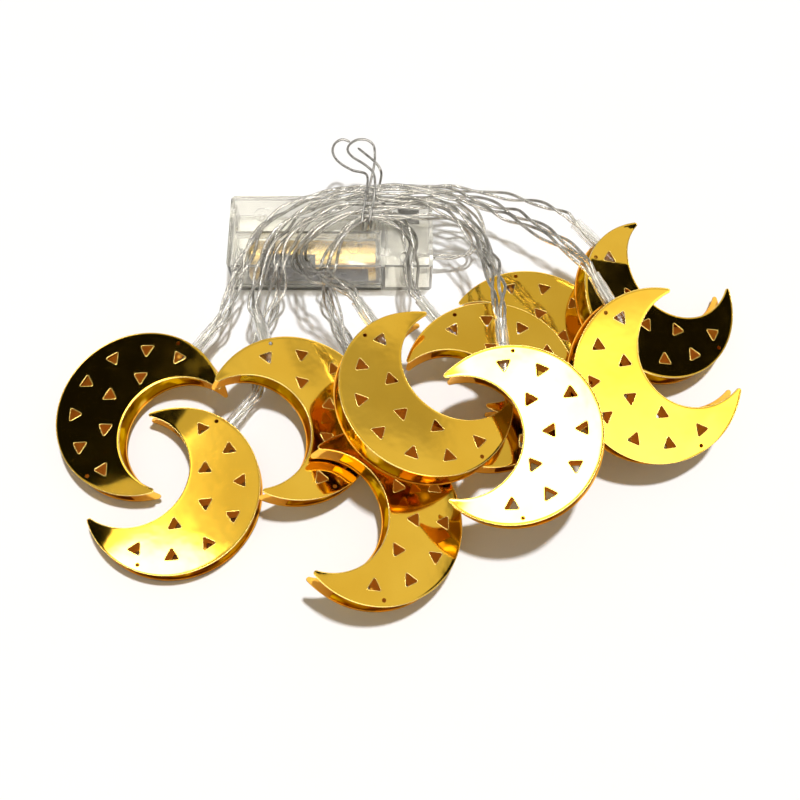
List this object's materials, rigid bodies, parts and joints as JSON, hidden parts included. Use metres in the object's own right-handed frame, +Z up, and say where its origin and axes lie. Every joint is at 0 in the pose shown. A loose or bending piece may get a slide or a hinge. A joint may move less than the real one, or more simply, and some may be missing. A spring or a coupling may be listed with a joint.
{
  "type": "led string lights",
  "caption": "String of crescent moon lights in gold mirror film on twisted clear wire, tied in a bundle over a clear battery box with a sliding door and a slide switch.",
  "frame": {"origin": "on the table, under the middle of the outline of the moons and the battery box, wires left out", "axes": "+X runs along the battery box to the right as the picture shows it, +Y away from the viewer, +Z up"},
  "size_m": [0.2502, 0.1835, 0.0429],
  "materials": {
    "gold_film": "gold metallised film, mirror bright",
    "gold_band": "gold metallised film, mirror bright",
    "clear_wire": "clear insulation over bright strands",
    "clear_sleeve": "clear, glossy",
    "light_lens": "clear warm lens",
    "tie_wire": "thin bright wire",
    "clear_case": "clear, glossy moulding",
    "cell_wrap": "gold and black printed wrap",
    "contact_metal": "bright nickel plate",
    "switch_plastic": "black, satin"
  },
  "bodies": {
    "string": {"moon_1_front_face": "gold_film", "moon_2_front_face": "gold_film", "moon_3_front_face": "gold_film", "moon_4_front_face": "gold_film", "moon_5_front_face": "gold_film", "moon_6_front_face": "gold_film", "moon_7_front_face": "gold_film", "moon_8_front_face": "gold_film", "moon_9_front_face": "gold_film", "moon_10_front_face": "gold_film", "moon_1_back_face": "gold_film", "moon_2_back_face": "gold_film", "moon_3_back_face": "gold_film", "moon_4_back_face": "gold_film", "moon_5_back_face": "gold_film", "moon_6_back_face": "gold_film", "moon_7_back_face": "gold_film", "moon_8_back_face": "gold_film", "moon_9_back_face": "gold_film", "moon_10_back_face": "gold_film", "moon_1_rim": "gold_band", "moon_2_rim": "gold_band", "moon_3_rim": "gold_band", "moon_4_rim": "gold_band", "moon_5_rim": "gold_band", "moon_6_rim": "gold_band", "moon_7_rim": "gold_band", "moon_8_rim": "gold_band", "moon_9_rim": "gold_band", "moon_10_rim": "gold_band", "lead_wire": "clear_wire", "span_wire_1": "clear_wire", "span_wire_2": "clear_wire", "span_wire_3": "clear_wire", "span_wire_4": "clear_wire", "span_wire_5": "clear_wire", "span_wire_6": "clear_wire", "span_wire_7": "clear_wire", "span_wire_8": "clear_wire", "span_wire_9": "clear_wire", "light_sleeves": "clear_sleeve", "lights": "light_lens", "wire_tie": "tie_wire", "battery_case": "clear_case", "front_cell": "cell_wrap", "front_spring": "contact_metal", "rear_spring": "contact_metal", "bridge_plate": "contact_metal", "plus_plate": "contact_metal", "minus_plate": "contact_metal", "switch_body": "switch_plastic"},
    "door": {"battery_door": "clear_case"},
    "switch": {"switch_knob": "switch_plastic"}
  },
  "joints": [
    {"name": "door_slide", "type": "slide", "parent": "string", "child": "door", "axis": [-1, 0, 0], "range_m": [0, 0.056]},
    {"name": "switch_slide", "type": "slide", "parent": "string", "child": "switch", "axis": [1, 0, 0], "range_m": [0, 0.002]}
  ]
}
